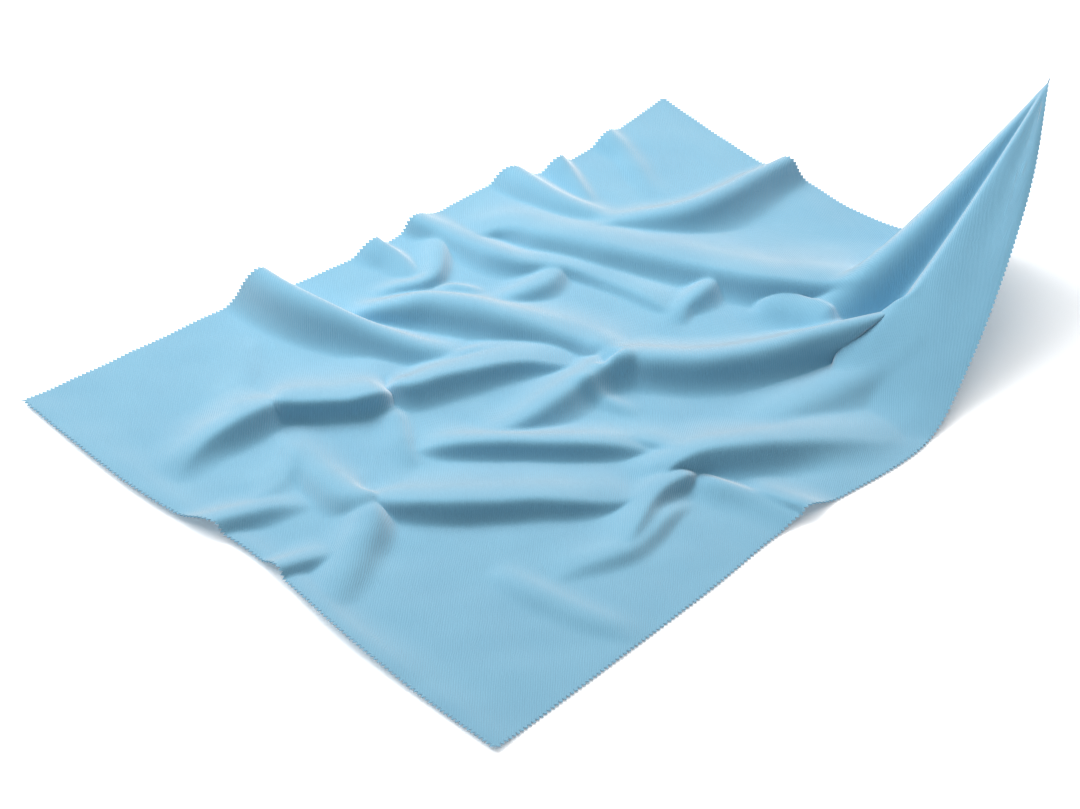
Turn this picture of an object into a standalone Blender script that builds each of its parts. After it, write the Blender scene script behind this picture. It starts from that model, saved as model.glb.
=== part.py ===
"""Microfibre cleaning cloth: one cut sheet, unhemmed, lying in soft folds with one corner lifted.

All table entries are millimetres. Plan positions are measured from the corner that lies flat at the
left end of the far side: x runs along the far side, y is negative towards the near side. A fold is a
crest line with a steep side on its right hand, as the line is walked, and a gentle side on its left.
"""
from collections import namedtuple

import bmesh
import bpy
import numpy as np

MM = 0.001

# The cloth as it was cut.
CLOTH_LENGTH = 700.0
CLOTH_WIDTH = 500.0
SHEET_THICKNESS = 1.2

# The folds are sampled on a fine grid, which is then thinned where the sheet is flat.
CELL = 4.0
FACETS = 4750

# The part's origin, in plan, is the middle of the outline's box.
ORIGIN_X = 343.0
ORIGIN_Y = -232.5

CLOTH_COLOUR = (0.36, 0.62, 0.78, 1.0)
CLOTH_ROUGHNESS = 0.9

# Outline of the sheet as it lies, one row of (x, y) for each place where a side turns.
FAR_SIDE = (
    (0, 0), (100, -1), (170, -2), (222, -10), (300, -13), (345, -9), (420, -5), (450, -17),
    (505, -16), (590, 0),
)
PLAIN_END = (
    (0, 0), (9, -80), (18, -135), (30, -178), (42, -205), (50, -250), (53, -320), (62, -385), (77, -465),
)
NEAR_SIDE = (
    (77, -465), (265, -441), (355, -427), (455, -425), (500, -416),
    (545, -397), (590, -378), (645, -350), (685, -317),
)
LIFTED_END = (
    (590, 0), (595, -75), (601, -120), (612, -150), (618, -195),
    (634, -240), (665, -270), (683, -293), (685, -317),
)

# The lifted corner is a cone of ribs that hang from its tip. heading is the plan direction of a rib
# from the tip in degrees, reach is how far from the tip it meets the surface, and sag bends it.
TIP_X, TIP_Y, TIP_HEIGHT = 685.0, -317.0, 166.0
Rib = namedtuple("Rib", "heading reach sag")
RIBS = (
    Rib(60, 50, 1.00),
    Rib(116, 66, 1.02),
    Rib(165, 205, 1.40),
    Rib(177, 150, 1.20),
    Rib(188, 215, 1.22),
    Rib(214, 184, 1.09),
    Rib(300, 50, 1.00),
)

# Each row of a fold is (x, y, height of the crest, width of the steep side, width of the gentle
# side). A crest that starts or ends at height 0 dies out there; one that keeps its height runs out
# over the edge of the cloth.
Fold = namedtuple("Fold", "name rows")
FOLDS = (
    Fold("far_ridge", (
        (195, 20, 28, 22, 24), (199, -5, 28, 22, 24), (206, -35, 27, 22, 25), (219, -70, 24, 19, 26),
        (232, -95, 19, 17, 26), (251, -125, 13, 14, 25), (290, -152, 0, 10, 24),
    )),
    Fold("left_wave", (
        (237, -60, 0, 6, 30), (252, -77, 11, 8, 32), (270, -90, 17, 13, 34), (288, -102, 20, 18, 36),
        (309, -126, 20, 19, 38), (341, -173, 14, 14, 42), (354, -196, 11, 11, 44), (376, -232, 0, 8, 45),
    )),
    Fold("long_wave_tip", (
        (36, -137, 0, 6, 30), (65, -124, 11, 9, 32), (82, -122, 15, 12, 34), (124, -123, 18, 12, 38),
        (152, -118, 0, 8, 40),
    )),
    Fold("long_wave", (
        (130, -110, 0, 7, 40), (136, -124, 17, 8, 42), (163, -143, 18, 8, 45), (190, -158, 18, 8, 48),
        (203, -160, 16, 8, 50), (218, -154, 0, 6, 50),
    )),
    Fold("long_wave_end", (
        (210, -145, 0, 7, 30), (225, -167, 17, 12, 32), (245, -172, 17, 12, 36), (268, -179, 16, 11, 40),
        (309, -193, 11, 8, 44), (342, -214, 0, 6, 46),
    )),
    Fold("left_hip", (
        (130, -135, 0, 10, 26), (126, -175, 7, 15, 27), (126, -218, 12, 18, 29), (131, -232, 13, 16, 30),
        (150, -230, 0, 8, 30),
    )),
    Fold("near_wave", (
        (145, -223, 0, 7, 50), (147, -249, 15, 9, 50), (160, -263, 16, 9, 51), (202, -294, 15, 9, 52),
        (246, -323, 13, 9, 53), (262, -333, 10, 8, 54), (281, -343, 7, 7, 55), (306, -344, 0, 6, 55),
    )),
    Fold("middle_wave", (
        (196, -210, 0, 6, 45), (208, -222, 9, 8, 44), (223, -234, 12, 8, 44), (262, -265, 14, 9, 42),
        (299, -293, 13, 9, 41), (314, -304, 9, 7, 40), (336, -322, 0, 6, 40),
    )),
    Fold("diagonal", (
        (246, -233, 0, 6, 30), (280, -238, 9, 13, 30), (301, -237, 13, 17, 30), (335, -236, 17, 13, 30),
        (362, -240, 20, 14, 30),
    )),
    Fold("cross_wave", (
        (345, -222, 0, 14, 30), (352, -234, 19, 15, 31), (367, -241, 21, 16, 32), (380, -254, 22, 17, 33),
        (405, -274, 22, 17, 34), (444, -293, 24, 18, 36), (482, -307, 27, 18, 38), (519, -324, 32, 14, 40),
    )),
    Fold("near_step", (
        (310, -343, 0, 6, 34), (322, -341, 12, 8, 35), (335, -343, 17, 11, 35), (350, -347, 19, 15, 36),
        (377, -360, 19, 17, 37), (421, -380, 15, 17, 38), (441, -390, 12, 17, 39), (474, -408, 0, 10, 40),
    )),
    Fold("star_arm", (
        (256, -376, 0, 6, 26), (269, -368, 5, 7, 26), (281, -361, 8, 9, 27), (310, -352, 11, 8, 28),
        (340, -348, 0, 6, 28),
    )),
    Fold("star_line", (
        (374, -445, 5, 7, 30), (357, -398, 5, 7, 28), (341, -366, 7, 8, 26), (333, -340, 0, 7, 24),
    )),
    Fold("notch", ((354, -382, 0, 6, 24), (366, -410, 8, 6, 24), (377, -445, 10, 6, 24))),
    Fold("spur", (
        (35, -310, 8, 14, 26), (69, -291, 9, 15, 26), (107, -268, 11, 17, 28), (131, -250, 13, 14, 30),
        (145, -232, 0, 8, 30),
    )),
    Fold("end_fold_1", (
        (18, -190, 10, 13, 30), (62, -197, 9, 11, 26), (83, -202, 7, 9, 24), (110, -210, 0, 6, 22),
    )),
    Fold("end_fold_2", ((34, -252, 9, 10, 24), (72, -257, 7, 8, 22), (102, -263, 0, 6, 20))),
    Fold("hook", (
        (258, -60, 0, 6, 16), (282, -66, 7, 6, 17), (296, -73, 9, 7, 18), (311, -73, 9, 8, 19),
        (332, -51, 8, 9, 20), (353, -29, 0, 6, 22),
    )),
    Fold("centre_wave", (
        (333, 12, 11, 12, 24), (336, -10, 11, 12, 24), (354, -60, 10, 14, 26), (361, -82, 12, 14, 27),
        (386, -112, 9, 9, 30), (409, -147, 6, 7, 32), (432, -218, 0, 6, 34),
    )),
    Fold("side_step", (
        (322, -115, 0, 6, 18), (343, -124, 7, 8, 20), (376, -128, 9, 12, 24), (405, -116, 0, 6, 26),
    )),
    Fold("far_pleat_1", (
        (298, 12, 11, 19, 10), (299, -15, 11, 19, 10), (303, -40, 6, 15, 11), (300, -70, 0, 10, 10),
    )),
    Fold("far_pleat_2", (
        (431, 10, 12, 17, 16), (434, -31, 13, 16, 18), (443, -73, 12, 13, 22), (471, -105, 0, 6, 26),
    )),
    Fold("far_pleat_3", (
        (472, 8, 10, 16, 10), (471, -18, 10, 16, 10), (463, -60, 4, 10, 10), (458, -85, 0, 8, 10),
    )),
    Fold("far_pleat_4", (
        (524, 8, 7, 16, 14), (522, -14, 7, 16, 14), (514, -65, 3, 12, 14), (505, -90, 0, 10, 14),
    )),
    Fold("right_wave", (
        (352, -48, 0, 7, 45), (371, -55, 7, 7, 46), (394, -71, 13, 13, 48), (404, -90, 15, 16, 49),
        (429, -126, 16, 17, 51), (472, -189, 16, 16, 55), (485, -211, 18, 20, 56), (500, -233, 20, 20, 57),
        (532, -266, 20, 14, 59), (545, -284, 16, 10, 60),
    )),
    Fold("nub", (
        (430, -222, 0, 6, 26), (443, -211, 10, 12, 27), (465, -208, 16, 18, 28), (488, -196, 0, 10, 30),
    )),
    Fold("end_ridge", (
        (418, -88, 0, 6, 26), (456, -106, 9, 13, 26), (490, -126, 15, 22, 25), (509, -134, 17, 24, 25),
        (560, -137, 18, 26, 24), (640, -136, 18, 24, 24),
    )),
    Fold("lip", (
        (483, -238, 0, 8, 10), (500, -248, 12, 12, 10), (514, -267, 16, 14, 11), (520, -290, 18, 14, 11),
    )),
    Fold("foot_swell", (
        (380, -340, 0, 12, 30), (434, -341, 9, 20, 34), (489, -347, 16, 22, 40), (530, -362, 26, 18, 44),
    )),
    Fold("foot_hem", (
        (540, -318, 30, 9, 40), (514, -320, 22, 9, 38), (491, -325, 13, 8, 35), (474, -337, 0, 6, 32),
    )),
)

# How a side of a fold falls: its slope grows over the first part of the width and shrinks over the
# last. Then the heights are averaged with their neighbours a few times, as cloth rounds its corners.
STEEP_ROUND, STEEP_FOOT = 0.45, 0.30
GENTLE_ROUND, GENTLE_FOOT = 0.40, 0.60
SOFTENING = 2
# Where folds cross, their heights join as a power mean, which keeps the higher one and rounds the corner.
JOIN_POWER = 4.0
CREST_STEPS = 8
SIDE_STEPS = 40


def smooth_line(rows, steps):
    """Points of a smooth curve that passes through the rows."""
    points = np.array(rows, dtype=float)
    ends = np.vstack([2 * points[0] - points[1], points, 2 * points[-1] - points[-2]])
    t = (np.arange(steps) / steps)[:, None]
    spans = []
    for before, start, stop, after in zip(ends, ends[1:], ends[2:], ends[3:]):
        bend = 2 * before - 5 * start + 4 * stop - after
        twist = -before + 3 * start - 3 * stop + after
        spans.append(start + 0.5 * ((stop - before) * t + bend * t**2 + twist * t**3))
    return np.vstack(spans + [points[-1:]])


def fall(q, rounded, foot):
    """Height along a side that falls from 1 at q = 0 to 0 at q = 1."""
    q = np.clip(q, 0.0, 1.0)
    whole = 1.0 - rounded / 2 - foot / 2
    straight = np.where(q < rounded, q * q / (2 * rounded), q - rounded / 2)
    dropped = np.where(q < 1.0 - foot, straight, whole - (1.0 - q) ** 2 / (2 * foot))
    return 1.0 - dropped / whole


def fold_height(x, y, fold):
    """Height of one fold over the plan points."""
    crest = smooth_line(fold.rows, CREST_STEPS)
    nearest = np.full(x.shape, np.inf)
    side = np.zeros(x.shape)
    sizes = np.zeros(x.shape + (3,))
    for start, stop in zip(crest, crest[1:]):
        dx, dy = stop[0] - start[0], stop[1] - start[1]
        t = np.clip(((x - start[0]) * dx + (y - start[1]) * dy) / (dx * dx + dy * dy), 0.0, 1.0)
        distance = np.hypot(x - start[0] - t * dx, y - start[1] - t * dy)
        closer = distance < nearest
        nearest = np.where(closer, distance, nearest)
        side = np.where(closer, (x - start[0]) * dy - (y - start[1]) * dx, side)
        here = start[2:] + t[..., None] * (stop[2:] - start[2:])
        sizes = np.where(closer[..., None], here, sizes)
    top, steep, gentle = sizes[..., 0], sizes[..., 1], sizes[..., 2]
    on_steep = fall(nearest / np.maximum(steep, 1.0), STEEP_ROUND, STEEP_FOOT)
    on_gentle = fall(nearest / np.maximum(gentle, 1.0), GENTLE_ROUND, GENTLE_FOOT)
    return np.maximum(top, 0.0) * np.where(side > 0, on_steep, on_gentle)


def between_ribs(heading, values):
    """The ribs' values at any heading, eased so that ribs and valleys are rounded."""
    headings = np.array([rib.heading for rib in RIBS], dtype=float)
    heading = np.clip(heading, headings[0], headings[-1])
    i = np.clip(np.searchsorted(headings, heading, side="right") - 1, 0, len(RIBS) - 2)
    t = (heading - headings[i]) / (headings[i + 1] - headings[i])
    ease = t * t * (3 - 2 * t)
    values = np.array(values)
    return values[i] + ease * (values[i + 1] - values[i])


def lifted_corner(x, y):
    """Height of the cone of ribs under the lifted tip."""
    dx, dy = x - TIP_X, y - TIP_Y
    heading = np.degrees(np.arctan2(dy, dx)) % 360.0
    reach = between_ribs(heading, [rib.reach for rib in RIBS])
    sag = between_ribs(heading, [rib.sag for rib in RIBS])
    return TIP_HEIGHT * np.clip(1.0 - np.hypot(dx, dy) / reach, 0.0, 1.0) ** sag


def height(x, y):
    """Height of the sheet's underside over the surface that it lies on."""
    heights = np.array([lifted_corner(x, y)] + [fold_height(x, y, fold) for fold in FOLDS])
    return (heights**JOIN_POWER).sum(axis=0) ** (1.0 / JOIN_POWER)


def soften(z):
    """The grid of heights with each inner point moved halfway to the mean of its neighbours."""
    for _ in range(SOFTENING):
        around = (z[:-2, 1:-1] + z[2:, 1:-1] + z[1:-1, :-2] + z[1:-1, 2:]) / 4
        z = z.copy()
        z[1:-1, 1:-1] = (z[1:-1, 1:-1] + around) / 2
    return z


def side_points(rows, count):
    """Plan points spaced evenly along a side of the sheet, measured over its folds."""
    line = smooth_line(rows, SIDE_STEPS)
    rise = np.diff(height(line[:, 0], line[:, 1]))
    steps = np.sqrt(np.sum(np.diff(line, axis=0) ** 2, axis=1) + rise**2)
    measured = np.concatenate([[0.0], np.cumsum(steps)])
    wanted = np.linspace(0.0, measured[-1], count)
    return np.column_stack([np.interp(wanted, measured, line[:, k]) for k in (0, 1)])


def plan_of_sheet(columns, rows):
    """Plan position of each point of the sheet, blended inwards from its four sides."""
    far, near = side_points(FAR_SIDE, columns)[:, None], side_points(NEAR_SIDE, columns)[:, None]
    plain, lifted = side_points(PLAIN_END, rows)[None, :], side_points(LIFTED_END, rows)[None, :]
    s = np.linspace(0.0, 1.0, columns)[:, None, None]
    t = np.linspace(0.0, 1.0, rows)[None, :, None]
    corners = (1 - t) * ((1 - s) * far[0] + s * far[-1]) + t * ((1 - s) * near[0] + s * near[-1])
    return (1 - t) * far + t * near + (1 - s) * plain + s * lifted - corners


def laid_sheet():
    """The sheet's underside as a grid that is moved onto the folds."""
    columns, rows = round(CLOTH_LENGTH / CELL), round(CLOTH_WIDTH / CELL)
    plan = plan_of_sheet(columns + 1, rows + 1)
    z = soften(height(plan[..., 0], plan[..., 1]))
    sheet = bmesh.new()
    bmesh.ops.create_grid(sheet, x_segments=columns, y_segments=rows, size=0.5)
    for vert in sheet.verts:
        i = round((vert.co.x + 0.5) * columns)
        j = round((0.5 - vert.co.y) * rows)
        x, y = plan[i, j]
        vert.co = ((x - ORIGIN_X) * MM, (y - ORIGIN_Y) * MM, z[i, j] * MM)
    mesh = bpy.data.meshes.new("microfibre_cloth")
    sheet.to_mesh(mesh)
    sheet.free()
    return mesh


def cloth_material():
    material = bpy.data.materials.new("sky_blue_microfibre")
    material.use_nodes = True
    shader = material.node_tree.nodes["Principled BSDF"]
    shader.inputs["Base Color"].default_value = CLOTH_COLOUR
    shader.inputs["Roughness"].default_value = CLOTH_ROUGHNESS
    shader.inputs["Metallic"].default_value = 0.0
    return material


def make_cloth(collection):
    mesh = laid_sheet()
    mesh.shade_smooth()
    mesh.materials.append(cloth_material())
    cloth = bpy.data.objects.new("microfibre_cloth", mesh)
    collection.objects.link(cloth)
    thinned = cloth.modifiers.new("fewer_facets_where_flat", "DECIMATE")
    thinned.ratio = FACETS / (2 * len(mesh.polygons))
    body = cloth.modifiers.new("sheet_thickness", "SOLIDIFY")
    body.thickness = SHEET_THICKNESS * MM
    body.offset = 1.0
    return cloth


def main():
    for old in list(bpy.data.objects):
        bpy.data.objects.remove(old)
    collection = bpy.data.collections.new("microfibre_cloth")
    bpy.context.scene.collection.children.link(collection)
    make_cloth(collection)


main()
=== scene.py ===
"""Looks of the microfibre cloth: one pinked sheet in soft folds with its corner lifted, on a pale floor.

Lengths of the cloth are millimetres, and those of the camera, the lights and the floor are metres. Plan
positions on the cloth are measured from the corner that lies flat at the left end of the far side: x
runs along the far side, y is negative towards the near side.
"""

import math
from collections import namedtuple

import bpy
import numpy as np
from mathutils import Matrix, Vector


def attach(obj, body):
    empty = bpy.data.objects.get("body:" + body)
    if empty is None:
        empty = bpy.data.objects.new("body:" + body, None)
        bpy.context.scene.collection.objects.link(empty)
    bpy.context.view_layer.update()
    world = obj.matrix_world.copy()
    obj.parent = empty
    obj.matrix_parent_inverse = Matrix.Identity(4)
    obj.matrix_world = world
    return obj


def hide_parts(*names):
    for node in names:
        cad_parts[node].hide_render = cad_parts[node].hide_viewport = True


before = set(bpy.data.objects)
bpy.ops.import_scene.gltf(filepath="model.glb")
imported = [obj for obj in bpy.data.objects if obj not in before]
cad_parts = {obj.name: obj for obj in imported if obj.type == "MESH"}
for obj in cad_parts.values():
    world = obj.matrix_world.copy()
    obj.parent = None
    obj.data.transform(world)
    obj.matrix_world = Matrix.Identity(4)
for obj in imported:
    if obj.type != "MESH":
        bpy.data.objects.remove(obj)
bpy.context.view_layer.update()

MM = 0.001

# The least that anything is divided by.
TINY = 1e-9

# The cloth as it was cut. The pinked edge has a tooth for every two cells of the grid.
CLOTH_LENGTH = 700.0
CLOTH_WIDTH = 500.0
SHEET_THICKNESS = 0.9
TOOTH_PITCH = 3.5
TOOTH_DEPTH = 2.6
CELL = TOOTH_PITCH / 2

# The mesh is thinned to about this many triangles on each face of the cloth, but not in the few cells
# along its border. Where facets meet at more than the sharp angle, in degrees, shading isn't smoothed.
FACETS = 94000
BORDER_CELLS = 3
SHARP_ANGLE = 55.0

# The part's origin, in plan, is the middle of the outline's box.
ORIGIN_X = 343.0
ORIGIN_Y = -232.5

# Outline of the sheet as it lies, one row of (x, y) for each place where a side turns.
FAR_SIDE = (
    (0, 0), (100, -1), (170, -2), (222, -10), (300, -13), (345, -9), (420, -5), (450, -17),
    (505, -16), (590, 0),
)
PLAIN_END = (
    (0, 0), (9, -80), (18, -135), (30, -178), (42, -205), (50, -250), (53, -320), (62, -385), (77, -465),
)
NEAR_SIDE = (
    (77, -465), (265, -441), (355, -427), (455, -427), (498, -420),
    (539, -404), (587, -382), (643, -351), (685, -317),
)
LIFTED_END = (
    (590, 0), (595, -75), (601, -120), (612, -150), (618, -195),
    (634, -240), (665, -270), (683, -293), (685, -317),
)

# The lifted corner is a cone of ribs that hang from its tip. heading is the plan direction of a rib
# from the tip in degrees, reach is how far from the tip it meets the surface, and sag bends it.
TIP_X, TIP_Y, TIP_HEIGHT = 685.0, -317.0, 166.0
Rib = namedtuple("Rib", "heading reach sag")
RIBS = (
    Rib(60, 50, 1.00),
    Rib(116, 66, 1.02),
    Rib(150, 122, 1.10),
    Rib(165, 207, 1.55),
    Rib(177, 140, 1.20),
    Rib(188, 215, 1.35),
    Rib(202, 225, 1.50),
    Rib(216, 214, 1.32),
    Rib(300, 50, 1.00),
)

# A fold is a crest line with a steep side on its right hand, as the line is walked, and a gentle side
# on its left. turn is the share of the steep side that bends down at its crest; the rest bends out
# to its foot. lean is how far the crest stands over that side for each unit of height. Each row is
# (x, y, height of the crest, width of the steep side, width of the gentle side). A crest that starts
# or ends at height 0 dies out there; one that keeps its height runs out over the edge of the cloth.
Fold = namedtuple("Fold", "name turn lean rows")
FOLDS = (
    Fold("far_ridge", 0.45, 0.0, (
        (195, 20, 28, 24, 21), (199, -5, 28, 24, 21), (206, -35, 27, 24, 22), (219, -70, 24, 21, 22),
        (232, -95, 19, 18, 22), (251, -125, 13, 15, 22), (270, -143, 7, 12, 22), (290, -152, 0, 10, 22),
    )),
    Fold("left_wave", 0.5, 0.2, (
        (237, -60, 0, 6, 22), (252, -77, 11, 8, 24), (270, -90, 17, 13, 25), (288, -102, 20, 18, 26),
        (309, -126, 20, 19, 28), (323, -148, 18, 17, 32), (341, -173, 14, 14, 36), (354, -196, 11, 11, 38),
        (363, -215, 12, 12, 34), (376, -232, 0, 8, 30),
    )),
    Fold("link", 0.3, 0.1, (
        (256, -155, 0, 4, 10), (268, -153, 5, 6, 12), (281, -155, 7, 7, 13), (296, -159, 5, 6, 14),
        (313, -162, 0, 4, 14),
    )),
    Fold("long_wave_tip", 0.2, 0.1, (
        (32, -140, 0, 12, 30), (50, -130, 3, 15, 31), (65, -124, 8, 15, 32), (82, -122, 13, 14, 34),
        (102, -123, 17, 13, 36), (124, -123, 18, 12, 38), (140, -122, 12, 9, 40), (152, -118, 0, 7, 40),
    )),
    Fold("long_wave", 0.3, 0.3, (
        (130, -110, 0, 5, 40), (136, -124, 17, 6, 42), (148, -133, 18, 6, 44), (163, -143, 18, 6, 45),
        (178, -153, 18, 6, 47), (190, -158, 19, 7, 48), (203, -160, 16, 8, 50), (218, -154, 0, 5, 50),
    )),
    Fold("long_wave_end", 0.2, 0.1, (
        (210, -145, 0, 6, 30), (215, -157, 13, 8, 30), (225, -167, 17, 12, 32), (245, -172, 17, 12, 36),
        (268, -179, 16, 11, 40), (291, -186, 14, 9, 42), (309, -193, 11, 8, 44), (323, -202, 7, 7, 46),
        (342, -214, 0, 5, 46),
    )),
    Fold("left_hip", 0.5, 0.0, (
        (130, -135, 0, 10, 26), (127, -156, 4, 12, 26), (126, -175, 7, 15, 27), (125, -197, 10, 17, 28),
        (126, -218, 12, 18, 29), (131, -232, 13, 16, 30), (142, -236, 10, 8, 30), (150, -230, 0, 5, 30),
    )),
    Fold("near_wave", 0.35, 0.25, (
        (145, -223, 0, 6, 34), (142, -237, 8, 9, 34), (147, -249, 12, 9, 36), (160, -263, 15, 9, 40),
        (178, -278, 16, 9, 42), (202, -294, 15, 9, 44), (226, -309, 14, 9, 44), (246, -323, 12, 9, 44),
        (262, -333, 9, 9, 44), (281, -343, 6, 8, 44), (306, -344, 0, 7, 44),
    )),
    Fold("middle_wave", 0.35, 0.25, (
        (196, -210, 0, 5, 30), (208, -222, 8, 8, 28), (223, -234, 12, 8, 26), (242, -249, 14, 9, 24),
        (262, -265, 14, 9, 24), (282, -281, 14, 9, 26), (299, -293, 12, 9, 28), (314, -304, 8, 9, 30),
        (336, -322, 0, 7, 30),
    )),
    Fold("middle_end", 0.3, 0.2, (
        (313, -284, 0, 3, 24), (322, -298, 5, 4, 26), (330, -313, 8, 5, 28), (337, -326, 8, 6, 30),
        (346, -333, 0, 5, 30),
    )),
    Fold("diagonal", 0.3, 0.1, (
        (236, -228, 0, 6, 22), (247, -232, 5, 8, 24), (261, -236, 8, 10, 26), (280, -238, 11, 14, 28),
        (301, -237, 14, 17, 30), (318, -236, 15, 15, 30), (335, -236, 17, 12, 30), (350, -236, 20, 14, 30),
        (362, -240, 20, 14, 30),
    )),
    Fold("cross_wave", 0.4, 0.3, (
        (345, -222, 0, 14, 30), (352, -234, 19, 15, 31), (367, -241, 21, 16, 32), (380, -254, 22, 17, 33),
        (405, -274, 22, 17, 32), (444, -293, 24, 17, 28), (482, -307, 27, 16, 24), (519, -324, 32, 12, 22),
        (536, -331, 33, 11, 22), (551, -336, 32, 10, 22),
    )),
    Fold("near_step", 0.25, 0.3, (
        (310, -343, 0, 5, 34), (322, -341, 12, 7, 35), (335, -343, 17, 10, 35), (350, -347, 19, 14, 36),
        (377, -360, 18, 17, 37), (399, -370, 16, 18, 38), (421, -380, 12, 19, 38), (441, -390, 8, 20, 39),
        (459, -400, 4, 20, 39), (478, -410, 0, 16, 40),
    )),
    Fold("star_arm", 0.3, 0.2, (
        (256, -376, 0, 5, 26), (269, -368, 5, 7, 26), (281, -361, 8, 9, 27), (294, -355, 10, 9, 28),
        (310, -352, 11, 8, 28), (328, -352, 10, 7, 28), (340, -348, 0, 5, 28),
    )),
    Fold("star_line", 0.4, 0.0, (
        (374, -445, 5, 10, 20), (368, -428, 5, 10, 20), (357, -398, 5, 10, 19), (349, -382, 6, 10, 18),
        (341, -366, 7, 10, 17), (333, -340, 0, 8, 16),
    )),
    Fold("notch", 0.4, 0.1, (
        (354, -382, 0, 4, 24), (360, -394, 5, 4, 24), (366, -410, 8, 5, 24), (373, -427, 10, 5, 24),
        (377, -445, 10, 5, 24),
    )),
    Fold("spur", 0.5, 0.0, (
        (35, -310, 4, 18, 26), (52, -301, 4, 18, 26), (69, -291, 5, 18, 26), (88, -280, 7, 18, 27),
        (107, -268, 9, 18, 28), (122, -259, 11, 17, 29), (131, -250, 12, 15, 30), (140, -238, 8, 10, 30),
    )),
    Fold("end_fold_1", 0.4, 0.0, (
        (18, -190, 15, 9, 34), (41, -194, 13, 10, 30), (62, -197, 10, 11, 26), (83, -202, 7, 10, 24),
        (110, -210, 0, 8, 22),
    )),
    Fold("end_fold_2", 0.4, 0.0, (
        (34, -252, 13, 8, 24), (55, -255, 11, 9, 23), (72, -257, 8, 9, 22), (88, -260, 4, 8, 21),
        (102, -263, 0, 7, 20),
    )),
    Fold("hook", 0.4, 0.1, (
        (258, -60, 0, 4, 16), (269, -61, 4, 5, 16), (282, -66, 7, 5, 17), (296, -73, 9, 5, 18),
        (311, -73, 9, 6, 19), (322, -64, 9, 8, 19), (332, -51, 8, 9, 20), (342, -39, 5, 7, 21),
        (353, -29, 0, 4, 22),
    )),
    Fold("under_hook", 0.4, 0.0, (
        (294, -80, 0, 5, 10), (306, -84, 4, 7, 10), (317, -89, 6, 8, 10), (326, -99, 5, 7, 10),
        (334, -110, 0, 4, 10),
    )),
    Fold("centre_wave", 0.4, 0.1, (
        (333, 12, 11, 12, 24), (336, -10, 11, 12, 24), (346, -33, 9, 12, 25), (354, -60, 10, 14, 26),
        (361, -82, 12, 14, 27), (372, -99, 11, 12, 28), (386, -112, 9, 8, 30), (398, -127, 8, 6, 31),
        (409, -147, 6, 6, 32), (420, -172, 5, 6, 33), (426, -192, 5, 6, 34), (432, -218, 0, 5, 34),
    )),
    Fold("side_step", 0.4, 0.1, (
        (322, -115, 0, 4, 18), (332, -119, 4, 6, 19), (343, -124, 7, 8, 20), (360, -128, 9, 11, 22),
        (376, -128, 9, 12, 24), (391, -122, 7, 10, 25), (405, -116, 0, 5, 26),
    )),
    Fold("far_pleat_1", 0.6, 0.0, (
        (298, 12, 11, 19, 10), (299, -15, 11, 19, 10), (303, -33, 8, 17, 11), (303, -48, 5, 14, 11),
        (300, -70, 0, 10, 10),
    )),
    Fold("far_pleat_2", 0.7, 0.0, (
        (431, 10, 12, 17, 16), (433, -12, 12, 17, 16), (434, -31, 13, 16, 18), (437, -53, 13, 15, 20),
        (443, -73, 12, 13, 22), (451, -88, 9, 10, 24), (460, -98, 5, 7, 25), (471, -105, 0, 5, 26),
    )),
    Fold("far_pleat_3", 0.6, 0.0, (
        (472, 8, 10, 16, 10), (471, -18, 10, 16, 10), (468, -38, 7, 14, 10), (463, -60, 4, 10, 10),
        (458, -85, 0, 6, 10),
    )),
    Fold("far_pleat_4", 0.6, 0.0, (
        (524, 8, 7, 16, 14), (522, -14, 7, 16, 14), (520, -40, 4, 12, 14), (514, -65, 3, 12, 14),
        (505, -90, 0, 10, 14),
    )),
    Fold("right_wave", 0.4, 0.15, (
        (352, -48, 0, 5, 45), (371, -55, 7, 6, 46), (384, -60, 10, 10, 47), (394, -71, 13, 14, 48),
        (404, -90, 15, 17, 49), (429, -126, 16, 18, 51), (445, -148, 15, 17, 53), (472, -189, 16, 14, 55),
        (485, -211, 18, 15, 56), (500, -233, 20, 14, 57), (532, -266, 20, 13, 59), (545, -284, 16, 10, 60),
    )),
    Fold("nub", 0.3, 0.1, (
        (430, -222, 0, 4, 20), (436, -215, 5, 7, 20), (443, -211, 8, 10, 20), (454, -210, 11, 12, 20),
        (465, -208, 12, 13, 20), (478, -203, 9, 11, 20), (490, -196, 0, 8, 20),
    )),
    Fold("end_ridge", 0.3, 0.2, (
        (418, -88, 0, 5, 26), (441, -101, 6, 8, 26), (456, -106, 10, 12, 26), (472, -115, 13, 17, 25),
        (490, -126, 17, 20, 25), (509, -134, 19, 22, 25), (530, -137, 20, 22, 24), (560, -137, 20, 20, 22),
        (606, -136, 19, 13, 17), (640, -136, 19, 11, 16),
    )),
    Fold("lip", 0.5, 0.0, (
        (483, -238, 0, 12, 8), (490, -243, 7, 22, 8), (500, -248, 10, 28, 9), (508, -255, 11, 30, 9),
        (514, -267, 12, 28, 10), (518, -282, 14, 24, 11),
    )),
    Fold("foot_swell", 0.4, 0.0, (
        (380, -340, 0, 10, 30), (405, -340, 4, 16, 32), (434, -341, 7, 20, 34), (462, -344, 9, 24, 36),
        (489, -347, 12, 26, 38), (513, -351, 15, 26, 38), (536, -356, 18, 24, 38), (560, -360, 0, 20, 38),
    )),
    Fold("foot_hem", 0.4, 0.5, (
        (540, -318, 30, 8, 40), (525, -319, 26, 8, 38), (514, -320, 22, 8, 36), (502, -322, 18, 7, 34),
        (491, -325, 13, 6, 32), (481, -330, 7, 5, 30), (474, -337, 0, 4, 30),
    )),
    Fold("raised_end", 0.5, 0.0, (
        (0, 0, 2, 12, 30), (9, -80, 4, 12, 34), (30, -178, 5, 12, 30), (50, -250, 4, 12, 24),
        (53, -320, 8, 12, 26), (62, -385, 4, 12, 30), (77, -465, 2, 12, 30),
    )),
)

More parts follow.
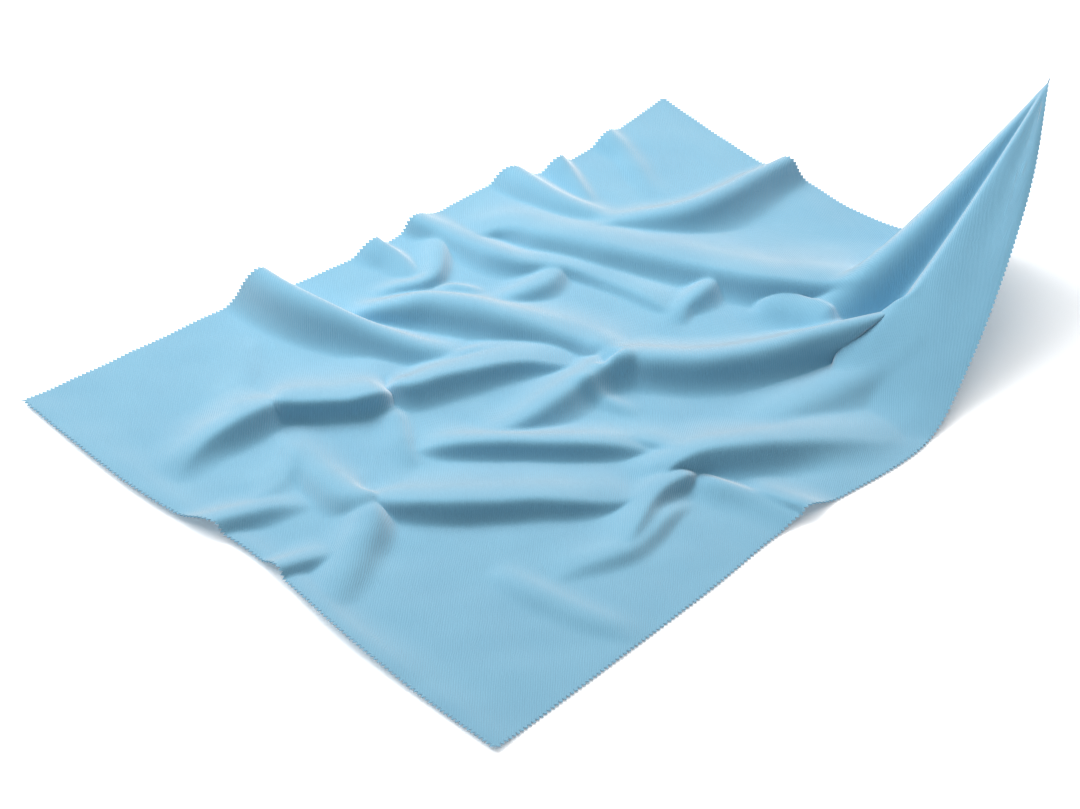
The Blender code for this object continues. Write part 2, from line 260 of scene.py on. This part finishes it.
# Shallow creases that lie over the folds: their heights are added to the folds', and a height below
# 0 is a hollow.
CREASES = (
    Fold("left_crease", 0.5, 0.0, (
        (106, -110, 0, 12, 28), (113, -101, 3, 14, 28), (126, -87, 4, 14, 28), (143, -70, 3, 13, 28),
        (157, -53, 2, 11, 28), (168, -42, 0, 8, 28),
    )),
    Fold("left_gable", 0.3, 0.0, (
        (74, -181, 0, 8, 30), (86, -183, 3, 10, 30), (98, -182, 4, 12, 30), (110, -176, 4, 12, 30),
        (122, -165, 2, 10, 28), (132, -156, 0, 8, 26),
    )),
    Fold("valley", 0.4, 0.0, (
        (185, -225, 0, 8, 18), (187, -213, 3, 10, 18), (193, -196, 5, 11, 18), (202, -177, 5, 10, 18),
        (208, -162, 0, 8, 18),
    )),
    Fold("near_crease", 0.5, 0.0, (
        (168, -335, 0, 8, 18), (173, -350, 3, 12, 18), (181, -378, 4, 14, 18), (191, -402, 4, 14, 18),
        (201, -424, 3, 12, 18), (212, -448, 0, 8, 18),
    )),
    Fold("near_swell", 0.4, 0.0, (
        (195, -366, 0, 8, 30), (215, -370, 3, 10, 28), (235, -376, 5, 11, 26), (255, -380, 6, 11, 24),
        (275, -377, 6, 10, 24), (295, -371, 5, 8, 22), (318, -367, 0, 6, 22),
    )),
    Fold("diagonal_crease", 0.3, 0.0, (
        (322, -222, 0, 7, 12), (326, -236, 3, 9, 12), (331, -248, 4, 9, 12), (336, -262, 3, 8, 12),
        (346, -278, 0, 7, 12),
    )),
    Fold("pocket", 0.5, 0.0, (
        (342, -230, 0, 5, 8), (349, -228, -7, 5, 8), (356, -226, -9, 5, 8), (363, -225, -7, 5, 8),
        (370, -224, 0, 5, 8),
    )),
)

# The turn of every gentle side. A side's foot fades out beyond its width in the table, by these
# factors, and no side is narrower than LEAST_WIDTH.
GENTLE_TURN = 0.35
STEEP_FADE, GENTLE_FADE = 1.3, 1.25
LEAST_WIDTH = 1.0

# Where folds cross, their heights join as the root of a sum of powers, which rounds the corner between
# them. Rounds of softening then take off what is still sharp.
JOIN_POWER = 4.0
SOFTENING = 3

# A point takes its fold's height and widths from the whole crest, near stretches counting far more.
CREST_BLUR = 2.0
CREST_POWER = 10.0

# Points on the smooth curve for each row of a table.
CREST_STEPS = 8
SIDE_STEPS = 40

# The flat cloth is never quite flat: a few shallow waves cross it, in any direction.
RIPPLES = 14
RIPPLE_HEIGHT = 0.16
RIPPLE_LENGTHS = (28.0, 75.0)
RIPPLE_SEED = 7

# The knit: fine ribs that run diagonally over the cloth, under a short pile. RIB_SHARE is the ribs' part
# in its relief, beside 1 for the pile. Both also shade the colour a little, by RIB_SHADE, on top of slow
# changes from place to place.
RIB_PITCH = 1.6
RIB_SHARE = 0.5
PILE_SIZE, PILE_DETAIL = 1.2, 2.0
KNIT_DEPTH = 0.14
SHADE_SIZE, SHADE_DETAIL = 55.0, 3.0
RIB_SHADE = 0.25
CLOTH_COLOUR = (0.095, 0.335, 0.510, 1.0)
CLOTH_COLOUR_PALE = (0.130, 0.405, 0.580, 1.0)
CLOTH_ROUGHNESS = 0.8
CLOTH_SPECULAR = 0.6
SHEEN_WEIGHT = 1.0
SHEEN_ROUGHNESS = 0.6

# The photograph's camera. Headings are plan directions in the part's frame, in degrees.
VIEW_HEADING = 52.84
VIEW_ELEVATION = 43.5
VIEW_DISTANCE = 2.156
VIEW_TARGET = (-0.0477, 0.0080, 0.0)
LENS = 100.0
SENSOR = 36.0

# Two broad lights, with angles in degrees: the key from the upper left, and one that faces the camera
# from behind the cloth and brings out its sheen.
Sun = namedtuple("Sun", "name heading elevation angle strength")
SUNS = (
    Sun("key", 118, 44, 30, 1.0),
    Sun("back", 74, 48, 45, 0.7),
)

# A softbox above and beyond the far side, and an even white light from all round.
SOFTBOX_PLACE, SOFTBOX_SIZE, SOFTBOX_POWER = (0.0, 0.44, 0.8), 0.8, 7.5
WORLD_COLOUR = (1.0, 1.0, 1.0, 1.0)
WORLD_STRENGTH = 0.29

# The floor lies just under the cloth. A wash of light that falls on nothing else keeps it white, so it
# needs only a faint glow of its own, and the undersides of raised edges stay dark.
FLOOR_SIZE = 12.0
FLOOR_HEIGHT = -0.0003
FLOOR_COLOUR = (0.93, 0.93, 0.935, 1.0)
FLOOR_ROUGHNESS = 0.8
FLOOR_GLOW = 0.12
FLOOR_WASH = Sun("floor_wash", 90, 82, 60, 1.7)


def smooth_line(rows, steps):
    """Points of a smooth curve that passes through the rows."""
    points = np.array(rows, dtype=float)
    ends = np.vstack([2 * points[0] - points[1], points, 2 * points[-1] - points[-2]])
    t = (np.arange(steps) / steps)[:, None]
    spans = []
    for before, start, stop, after in zip(ends, ends[1:], ends[2:], ends[3:]):
        bend = 2 * before - 5 * start + 4 * stop - after
        twist = -before + 3 * start - 3 * stop + after
        spans.append(start + 0.5 * ((stop - before) * t + bend * t**2 + twist * t**3))
    return np.vstack(spans + [points[-1:]])


def fall(q, turn):
    """Height along a side that falls from 1 at q = 0 to 0 at q = 1, and is steepest where q = turn."""
    q = np.clip(q, 0.0, 1.0)
    return np.where(q < turn, 1.0 - q * q / turn, (1.0 - q) ** 2 / (1.0 - turn))


def right_hand(line):
    """Unit plan vectors to the right of a line at each of its points."""
    along = np.gradient(line[:, :2], axis=0)
    along /= np.hypot(along[:, 0], along[:, 1])[:, None]
    return np.column_stack([along[:, 1], -along[:, 0]])


def crest_of(fold):
    """Points along a fold's crest, and what holds at each: height, both widths and the right-hand vector.

    The crest is set back by its lean, because the lean carries it forward again when the fold is laid.
    """
    crest = smooth_line(fold.rows, CREST_STEPS)
    heights = [row[2] for row in fold.rows]
    crest[:, 2] = np.clip(crest[:, 2], min(heights), max(heights))
    right = right_hand(crest)
    crest[:, :2] -= fold.lean * crest[:, 2:3] * right
    crest[:, 3] += fold.lean * crest[:, 2]
    return crest, np.column_stack([crest[:, 2:], right])


def fold_over(x, y, fold):
    """Height of one fold over a list of plan points, and the direction of its steep side there."""
    crest, stations = crest_of(fold)
    nearest = np.full(x.shape, np.inf)
    side, total = np.zeros(x.shape), np.zeros(x.shape)
    here = np.zeros(x.shape + (stations.shape[1],))
    for i, (start, stop) in enumerate(zip(crest, crest[1:])):
        dx, dy = stop[0] - start[0], stop[1] - start[1]
        t = np.clip(((x - start[0]) * dx + (y - start[1]) * dy) / (dx * dx + dy * dy), 0.0, 1.0)
        distance = np.hypot(x - start[0] - t * dx, y - start[1] - t * dy)
        weight = (distance + CREST_BLUR) ** -CREST_POWER
        total += weight
        here += weight[:, None] * (stations[i] + t[:, None] * (stations[i + 1] - stations[i]))
        across = ((x - start[0]) * dy - (y - start[1]) * dx) / math.hypot(dx, dy)
        closer = distance < nearest
        nearest[closer] = distance[closer]
        side[closer] = (across / np.maximum(distance, TINY))[closer]
    here /= total[:, None]
    top, widths = here[:, 0], np.maximum(here[:, 1:3], LEAST_WIDTH)
    on_steep = fall(nearest / (STEEP_FADE * widths[:, 0]), fold.turn)
    on_gentle = fall(nearest / (GENTLE_FADE * widths[:, 1]), GENTLE_TURN)
    steep_share = 0.5 + 0.5 * np.clip(side, -1.0, 1.0)
    return top * (on_gentle + steep_share * (on_steep - on_gentle)), here[:, 3:]


def fold_at(x, y, fold):
    """The same over any array of plan points, worked out only near the fold."""
    rows = np.array(fold.rows, dtype=float)
    reach = rows[:, 2:].max() * (GENTLE_FADE + fold.lean)
    low, high = rows[:, :2].min(axis=0) - reach, rows[:, :2].max(axis=0) + reach
    close = (x > low[0]) & (x < high[0]) & (y > low[1]) & (y < high[1])
    height, heading = np.zeros(x.shape), np.zeros(x.shape + (2,))
    if close.any():
        height[close], heading[close] = fold_over(x[close], y[close], fold)
    return height, heading


def between_ribs(heading, values):
    """The ribs' values at any heading, eased so that ribs and valleys are rounded."""
    headings = np.array([rib.heading for rib in RIBS], dtype=float)
    heading = np.clip(heading, headings[0], headings[-1])
    i = np.clip(np.searchsorted(headings, heading, side="right") - 1, 0, len(RIBS) - 2)
    t = (heading - headings[i]) / (headings[i + 1] - headings[i])
    ease = t * t * (3 - 2 * t)
    values = np.array(values)
    return values[i] + ease * (values[i + 1] - values[i])


def lifted_corner(x, y):
    """Height of the cone of ribs under the lifted tip."""
    dx, dy = x - TIP_X, y - TIP_Y
    heading = np.degrees(np.arctan2(dy, dx)) % 360.0
    reach = between_ribs(heading, [rib.reach for rib in RIBS])
    sag = between_ribs(heading, [rib.sag for rib in RIBS])
    return TIP_HEIGHT * np.clip(1.0 - np.hypot(dx, dy) / reach, 0.0, 1.0) ** sag


def ripples(x, y):
    """Shallow waves that cross the whole cloth. They never reach below zero."""
    chance = np.random.default_rng(RIPPLE_SEED)
    total = np.zeros(x.shape)
    for _ in range(RIPPLES):
        turn, start = chance.uniform(0.0, 2 * math.pi, 2)
        length = chance.uniform(*RIPPLE_LENGTHS)
        along = x * math.cos(turn) + y * math.sin(turn)
        total += 1.0 + np.sin(2 * math.pi * along / length + start)
    return RIPPLE_HEIGHT * total / 2


def laid(x, y):
    """Where plan points of the sheet end up: x, y and the height of the sheet's underside."""
    heights, leans = [lifted_corner(x, y)], [np.zeros(x.shape + (2,))]
    for fold in FOLDS:
        height, heading = fold_at(x, y, fold)
        heights.append(height)
        leans.append(fold.lean * height[..., None] * heading)
    powers = np.array(heights) ** JOIN_POWER
    total = powers.sum(axis=0)
    shares = powers / np.maximum(total, TINY)
    shift = (shares[..., None] * np.array(leans)).sum(axis=0)
    z = total ** (1.0 / JOIN_POWER) + ripples(x, y)
    for crease in CREASES:
        z += fold_at(x, y, crease)[0]
    return x + shift[..., 0], y + shift[..., 1], z


def soften(grid):
    """The grid with each inner point moved halfway to the mean of its neighbours, a few times."""
    for _ in range(SOFTENING):
        around = (grid[:-2, 1:-1] + grid[2:, 1:-1] + grid[1:-1, :-2] + grid[1:-1, 2:]) / 4
        grid = grid.copy()
        grid[1:-1, 1:-1] = (grid[1:-1, 1:-1] + around) / 2
    return grid


def side_points(rows, count):
    """Plan points spaced evenly along a side of the sheet, measured over its folds."""
    line = smooth_line(rows, SIDE_STEPS)
    over = np.stack(laid(line[:, 0], line[:, 1]), axis=-1)
    measured = np.concatenate([[0.0], np.cumsum(np.linalg.norm(np.diff(over, axis=0), axis=1))])
    wanted = np.linspace(0.0, measured[-1], count)
    return np.column_stack([np.interp(wanted, measured, line[:, k]) for k in (0, 1)])


def plan_of_sheet(columns, rows):
    """Plan position of each point of the sheet, blended inwards from its four sides."""
    far, near = side_points(FAR_SIDE, columns)[:, None], side_points(NEAR_SIDE, columns)[:, None]
    plain, lifted = side_points(PLAIN_END, rows)[None, :], side_points(LIFTED_END, rows)[None, :]
    s = np.linspace(0.0, 1.0, columns)[:, None, None]
    t = np.linspace(0.0, 1.0, rows)[None, :, None]
    corners = (1 - t) * ((1 - s) * far[0] + s * far[-1]) + t * ((1 - s) * near[0] + s * near[-1])
    return (1 - t) * far + t * near + (1 - s) * plain + s * lifted - corners


def pinked(points):
    """The sheet's points with its border cut in teeth: tips and notches take turns along it."""
    cut = points.copy()
    half = TOOTH_DEPTH / 2 / CELL
    for border, inner in ((0, 1), (-1, -2)):
        outwards = half * (points[:, border] - points[:, inner])
        outwards[1::2] *= -1
        cut[:, border] += outwards
        outwards = half * (points[border] - points[inner])
        outwards[1::2] *= -1
        cut[border] += outwards
    return cut


def sheet_points():
    """The laid sheet as a grid of points in the part's frame, in metres, none of them under the floor."""
    columns, rows = 2 * round(CLOTH_LENGTH / TOOTH_PITCH), 2 * round(CLOTH_WIDTH / TOOTH_PITCH)
    plan = plan_of_sheet(columns + 1, rows + 1)
    points = pinked(soften(np.stack(laid(plan[..., 0], plan[..., 1]), axis=-1)))
    points[..., 2] = np.maximum(points[..., 2], 0.0)
    return (points - np.array([ORIGIN_X, ORIGIN_Y, 0.0])) * MM


def laid_mesh(points):
    """The sheet as one layer of quads. Its UV map is the flat cloth, in metres."""
    columns, rows = points.shape[0] - 1, points.shape[1] - 1
    number = np.arange((columns + 1) * (rows + 1)).reshape(columns + 1, rows + 1)
    quads = np.stack([number[:-1, :-1], number[1:, :-1], number[1:, 1:], number[:-1, 1:]], axis=-1)
    mesh = bpy.data.meshes.new("microfibre_sheet")
    mesh.from_pydata(points.reshape(-1, 3).tolist(), [], quads.reshape(-1, 4).tolist())
    flat = mesh.uv_layers.new(name="flat_cloth")
    corner = np.zeros(len(mesh.loops), dtype=np.int32)
    mesh.loops.foreach_get("vertex_index", corner)
    place = np.stack([corner // (rows + 1), corner % (rows + 1)], axis=-1) * CELL * MM
    flat.data.foreach_set("uv", place.astype(np.float32).ravel())
    return mesh


def thicken(sheet, columns):
    """Leaves fewer facets where the sheet is flat, away from its border, and makes it thick, upwards."""
    number = np.arange(len(sheet.data.vertices)).reshape(columns, -1)
    inside = number[BORDER_CELLS:-BORDER_CELLS, BORDER_CELLS:-BORDER_CELLS]
    inner = sheet.vertex_groups.new(name="inside_the_border")
    inner.add(inside.ravel().tolist(), 1.0, "REPLACE")
    thinned = sheet.modifiers.new("fewer_facets_where_flat", "DECIMATE")
    thinned.ratio = FACETS / (2 * len(sheet.data.polygons))
    thinned.vertex_group = inner.name
    body = sheet.modifiers.new("sheet_thickness", "SOLIDIFY")
    body.thickness = SHEET_THICKNESS * MM
    body.offset = -1.0
    evaluated = sheet.evaluated_get(bpy.context.evaluated_depsgraph_get())
    solid = bpy.data.meshes.new_from_object(evaluated)
    sheet.modifiers.clear()
    sheet.vertex_groups.clear()
    sheet.data = solid
    solid.shade_smooth()
    solid.set_sharp_from_angle(angle=math.radians(SHARP_ANGLE))


def rib_height(nodes, links, flat):
    """A diagonal wave over the flat cloth for the ribs of the knit, between -1 and 1."""
    place = nodes.new("ShaderNodeSeparateXYZ")
    links.new(flat, place.inputs["Vector"])
    diagonal = nodes.new("ShaderNodeMath")
    diagonal.operation = "ADD"
    links.new(place.outputs["X"], diagonal.inputs[0])
    links.new(place.outputs["Y"], diagonal.inputs[1])
    turns = nodes.new("ShaderNodeMath")
    turns.operation = "MULTIPLY"
    turns.inputs[1].default_value = 2 * math.pi / (RIB_PITCH * MM * math.sqrt(2))
    links.new(diagonal.outputs["Value"], turns.inputs[0])
    wave = nodes.new("ShaderNodeMath")
    wave.operation = "SINE"
    links.new(turns.outputs["Value"], wave.inputs[0])
    return wave.outputs["Value"]


def noise(nodes, links, flat, size, detail):
    """Cloudy noise over the flat cloth, of a size in millimetres, between 0 and 1."""
    cloud = nodes.new("ShaderNodeTexNoise")
    cloud.inputs["Scale"].default_value = 1.0 / (size * MM)
    cloud.inputs["Detail"].default_value = detail
    links.new(flat, cloud.inputs["Vector"])
    return cloud.outputs["Fac"]


def scaled_sum(nodes, links, scaled, factor, added):
    """One value times a factor, plus another value."""
    joined = nodes.new("ShaderNodeMath")
    joined.operation = "MULTIPLY_ADD"
    joined.inputs[1].default_value = factor
    links.new(scaled, joined.inputs[0])
    links.new(added, joined.inputs[2])
    return joined.outputs["Value"]


def cloth_material():
    """Brushed blue knit: faint ribs, short pile and a pale sheen."""
    material = bpy.data.materials.new("sky_blue_microfibre")
    material.use_nodes = True
    nodes, links = material.node_tree.nodes, material.node_tree.links
    shader = nodes["Principled BSDF"]
    shader.inputs["Roughness"].default_value = CLOTH_ROUGHNESS
    shader.inputs["Specular IOR Level"].default_value = CLOTH_SPECULAR
    shader.inputs["Sheen Weight"].default_value = SHEEN_WEIGHT
    shader.inputs["Sheen Roughness"].default_value = SHEEN_ROUGHNESS
    uv_map = nodes.new("ShaderNodeUVMap")
    uv_map.uv_map = "flat_cloth"
    flat = uv_map.outputs["UV"]
    pile = noise(nodes, links, flat, PILE_SIZE, PILE_DETAIL)
    knit = scaled_sum(nodes, links, rib_height(nodes, links, flat), RIB_SHARE, pile)
    bump = nodes.new("ShaderNodeBump")
    bump.inputs["Distance"].default_value = KNIT_DEPTH * MM
    links.new(knit, bump.inputs["Height"])
    links.new(bump.outputs["Normal"], shader.inputs["Normal"])
    shade = nodes.new("ShaderNodeMix")
    shade.data_type = "RGBA"
    shade.inputs["A"].default_value = CLOTH_COLOUR
    shade.inputs["B"].default_value = CLOTH_COLOUR_PALE
    clouds = noise(nodes, links, flat, SHADE_SIZE, SHADE_DETAIL)
    links.new(scaled_sum(nodes, links, knit, RIB_SHADE, clouds), shade.inputs["Factor"])
    links.new(shade.outputs["Result"], shader.inputs["Base Color"])
    return material


def make_cloth():
    """The cloth, which stands for the solid of the same shape."""
    points = sheet_points()
    mesh = laid_mesh(points)
    mesh.materials.append(cloth_material())
    sheet = bpy.data.objects.new("microfibre_sheet", mesh)
    bpy.context.scene.collection.objects.link(sheet)
    thicken(sheet, points.shape[0])
    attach(sheet, "root")
    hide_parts("microfibre_cloth")


def heading_vector(heading, elevation):
    """Unit vector that points along a plan heading and up by an elevation, both in degrees."""
    turn, rise = math.radians(heading), math.radians(elevation)
    return Vector((math.cos(turn) * math.cos(rise), math.sin(turn) * math.cos(rise), math.sin(rise)))


def aim(thing, place, target=(0.0, 0.0, 0.0)):
    """Puts a camera or light at a place and turns it towards a target."""
    thing.location = place
    thing.rotation_euler = (Vector(target) - Vector(place)).to_track_quat("-Z", "Y").to_euler()


def make_camera():
    """A camera at the photograph's angle, distance and framing."""
    data = bpy.data.cameras.new("camera")
    data.lens = LENS
    data.sensor_width = SENSOR
    camera = bpy.data.objects.new("camera", data)
    bpy.context.scene.collection.objects.link(camera)
    back = heading_vector(VIEW_HEADING + 180.0, VIEW_ELEVATION)
    aim(camera, Vector(VIEW_TARGET) + back * VIEW_DISTANCE, VIEW_TARGET)
    bpy.context.scene.camera = camera


def make_sun(sun):
    """One broad light that shines from a heading and an elevation."""
    data = bpy.data.lights.new(sun.name, "SUN")
    data.angle = math.radians(sun.angle)
    data.energy = sun.strength
    light = bpy.data.objects.new(sun.name, data)
    bpy.context.scene.collection.objects.link(light)
    aim(light, heading_vector(sun.heading, sun.elevation))
    return light


def make_light():
    """The lights on the cloth: the softbox, the broad lights and the light from all round."""
    data = bpy.data.lights.new("softbox", "AREA")
    data.shape = "DISK"
    data.size = SOFTBOX_SIZE
    data.energy = SOFTBOX_POWER
    light = bpy.data.objects.new("softbox", data)
    bpy.context.scene.collection.objects.link(light)
    aim(light, SOFTBOX_PLACE)
    for sun in SUNS:
        make_sun(sun)
    world = bpy.data.worlds.new("studio")
    world.use_nodes = True
    sky = world.node_tree.nodes["Background"]
    sky.inputs["Color"].default_value = WORLD_COLOUR
    sky.inputs["Strength"].default_value = WORLD_STRENGTH
    bpy.context.scene.world = world


def floor_material():
    """Matte white that glows faintly."""
    material = bpy.data.materials.new("pale_floor")
    material.use_nodes = True
    shader = material.node_tree.nodes["Principled BSDF"]
    shader.inputs["Base Color"].default_value = FLOOR_COLOUR
    shader.inputs["Roughness"].default_value = FLOOR_ROUGHNESS
    shader.inputs["Emission Color"].default_value = FLOOR_COLOUR
    shader.inputs["Emission Strength"].default_value = FLOOR_GLOW
    return material


def make_floor():
    """A plain floor, and the wash of light that falls on it alone."""
    bpy.ops.mesh.primitive_plane_add(size=FLOOR_SIZE, location=(0.0, 0.0, FLOOR_HEIGHT))
    floor = bpy.context.object
    floor.name = "floor"
    floor.data.materials.append(floor_material())
    washed = bpy.data.collections.new("lit_by_the_floor_wash")
    washed.objects.link(floor)
    make_sun(FLOOR_WASH).light_linking.receiver_collection = washed


make_cloth()
make_floor()
make_light()
make_camera()
bpy.context.scene.view_settings.view_transform = "Standard"
